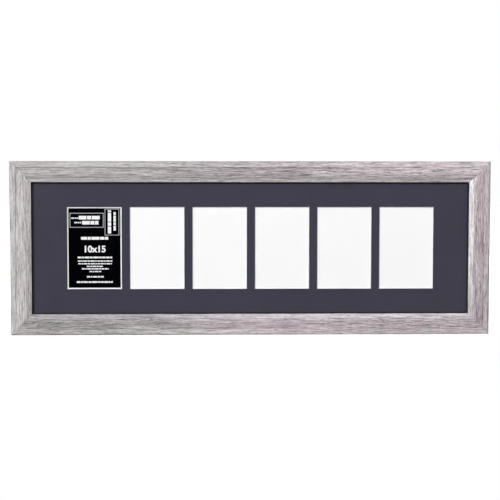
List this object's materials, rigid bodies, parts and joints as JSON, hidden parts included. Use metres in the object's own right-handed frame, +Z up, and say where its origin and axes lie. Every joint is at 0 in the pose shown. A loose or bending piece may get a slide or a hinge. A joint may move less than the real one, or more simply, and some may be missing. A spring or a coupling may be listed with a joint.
{
  "type": "collage photo frame",
  "caption": "Long rectangular picture frame with mitred grey wood rails, a dark mat with a row of upright windows behind glass, and a backing board held by turn buttons.",
  "frame": {"origin": "middle of the whole object, halfway between the face's crown and the bumpers' wall faces", "axes": "+X to the right along the length as seen from the front, +Y out of the back towards the wall, +Z up"},
  "size_m": [0.8762, 0.0258, 0.3174],
  "materials": {
    "driftwood": "whitewashed grey driftwood, brushed grain, matt",
    "glazing": "clear float glass, polished",
    "mat_paper": "charcoal mat facing paper, matt",
    "mat_core": "white core board, cut face",
    "mat_backing": "off-white backing paper, matt",
    "card_stock": "black printed card with a white border, satin",
    "board_liner": "white clay-coated liner paper, matt",
    "board_foam": "white foamed core, cut edge",
    "button_steel": "zinc-plated stamped steel, satin",
    "screw_steel": "zinc-plated steel screw",
    "hanger_steel": "brass-plated stamped steel",
    "nail_steel": "bright steel",
    "bumper_rubber": "clear-white soft rubber, satin"
  },
  "bodies": {
    "frame": {"top_rail": "driftwood", "right_rail": "driftwood", "bottom_rail": "driftwood", "left_rail": "driftwood", "corner_v_nails": "nail_steel", "glass_pane": "glazing", "mat_face_paper": "mat_paper", "mat_core_board": "mat_core", "mat_backing_paper": "mat_backing", "insert_card": "card_stock", "backing_front_liner": "board_liner", "backing_foam_core": "board_foam", "backing_rear_liner": "board_liner", "turn_button_screws": "screw_steel", "hanger_nails": "nail_steel", "hanger_top_left": "hanger_steel", "hanger_top_right": "hanger_steel", "hanger_left_side": "hanger_steel", "bumper_lower_left": "bumper_rubber", "bumper_upper_left": "bumper_rubber", "bumper_lower_right": "bumper_rubber", "bumper_upper_right": "bumper_rubber"},
    "button_top_left": {"turn_button_top_left": "button_steel"},
    "button_top_middle": {"turn_button_top_middle": "button_steel"},
    "button_top_right": {"turn_button_top_right": "button_steel"},
    "button_right_upper": {"turn_button_right_upper": "button_steel"},
    "button_right_lower": {"turn_button_right_lower": "button_steel"},
    "button_bottom_right": {"turn_button_bottom_right": "button_steel"},
    "button_bottom_middle": {"turn_button_bottom_middle": "button_steel"},
    "button_bottom_left": {"turn_button_bottom_left": "button_steel"},
    "button_left_lower": {"turn_button_left_lower": "button_steel"},
    "button_left_upper": {"turn_button_left_upper": "button_steel"}
  },
  "joints": [
    {"name": "button_top_left_turn", "type": "hinge", "parent": "frame", "child": "button_top_left", "pos_m": [-0.27015, 0.0098, 0.1348], "axis": [0, 1, 0], "continuous": true},
    {"name": "button_top_middle_turn", "type": "hinge", "parent": "frame", "child": "button_top_middle", "pos_m": [0, 0.0098, 0.1348], "axis": [0, 1, 0], "continuous": true},
    {"name": "button_top_right_turn", "type": "hinge", "parent": "frame", "child": "button_top_right", "pos_m": [0.27015, 0.0098, 0.1348], "axis": [0, 1, 0], "continuous": true},
    {"name": "button_right_upper_turn", "type": "hinge", "parent": "frame", "child": "button_right_upper", "pos_m": [0.4142, 0.0098, 0.07075], "axis": [0, 1, 0], "continuous": true},
    {"name": "button_right_lower_turn", "type": "hinge", "parent": "frame", "child": "button_right_lower", "pos_m": [0.4142, 0.0098, -0.07075], "axis": [0, 1, 0], "continuous": true},
    {"name": "button_bottom_right_turn", "type": "hinge", "parent": "frame", "child": "button_bottom_right", "pos_m": [0.27015, 0.0098, -0.1348], "axis": [0, 1, 0], "continuous": true},
    {"name": "button_bottom_middle_turn", "type": "hinge", "parent": "frame", "child": "button_bottom_middle", "pos_m": [0, 0.0098, -0.1348], "axis": [0, 1, 0], "continuous": true},
    {"name": "button_bottom_left_turn", "type": "hinge", "parent": "frame", "child": "button_bottom_left", "pos_m": [-0.27015, 0.0098, -0.1348], "axis": [0, 1, 0], "continuous": true},
    {"name": "button_left_lower_turn", "type": "hinge", "parent": "frame", "child": "button_left_lower", "pos_m": [-0.4142, 0.0098, -0.07075], "axis": [0, 1, 0], "continuous": true},
    {"name": "button_left_upper_turn", "type": "hinge", "parent": "frame", "child": "button_left_upper", "pos_m": [-0.4142, 0.0098, 0.07075], "axis": [0, 1, 0], "continuous": true}
  ]
}
